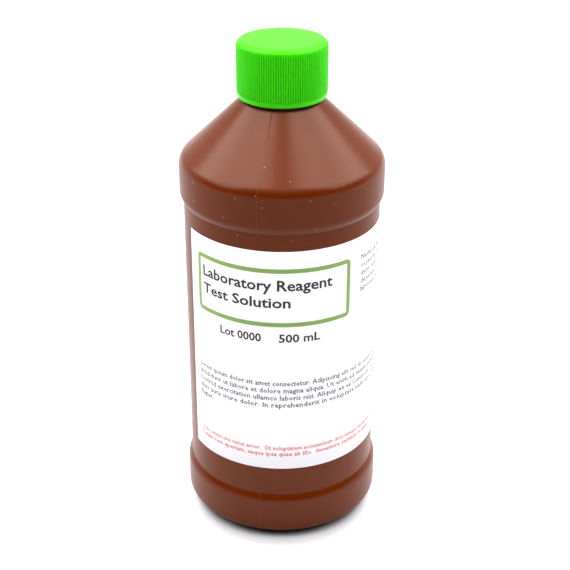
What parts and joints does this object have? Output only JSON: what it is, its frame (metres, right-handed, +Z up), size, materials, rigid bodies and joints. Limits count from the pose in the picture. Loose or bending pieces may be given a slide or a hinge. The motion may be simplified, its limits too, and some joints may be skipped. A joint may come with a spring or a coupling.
{
  "type": "screw-cap reagent bottle",
  "caption": "Round plastic reagent bottle with a sloping shoulder, a wrap-round label in a recessed panel and a ribbed screw cap that unscrews.",
  "frame": {"origin": "centre of the base, on the surface the bottle stands on", "axes": "+Z up along the bottle's axis, -Y out through the front of the label"},
  "size_m": [0.072, 0.072, 0.1795],
  "materials": {
    "brown_hdpe": "satin",
    "green_polypropylene": "satin",
    "liner_foam": "matte",
    "label_paper": "satin"
  },
  "bodies": {
    "bottle": {"bottle": "brown_hdpe", "label": "label_paper"},
    "liner": {"cap_liner": "liner_foam"},
    "cap": {"screw_cap": "green_polypropylene"}
  },
  "joints": [
    {"name": "liner_rise", "type": "slide", "parent": "bottle", "child": "liner", "axis": [0, 0, 1], "range_m": [0, 0.0255]},
    {"name": "cap_turn", "type": "hinge", "parent": "liner", "child": "cap", "pos_m": [0, 0, 0.1775], "axis": [0, 0, 1], "range_deg": [0, 2160]}
  ],
  "couplings": [
    {"joint": "liner_rise", "follows": "cap_turn", "m_per_rad": 0.00067375}
  ]
}
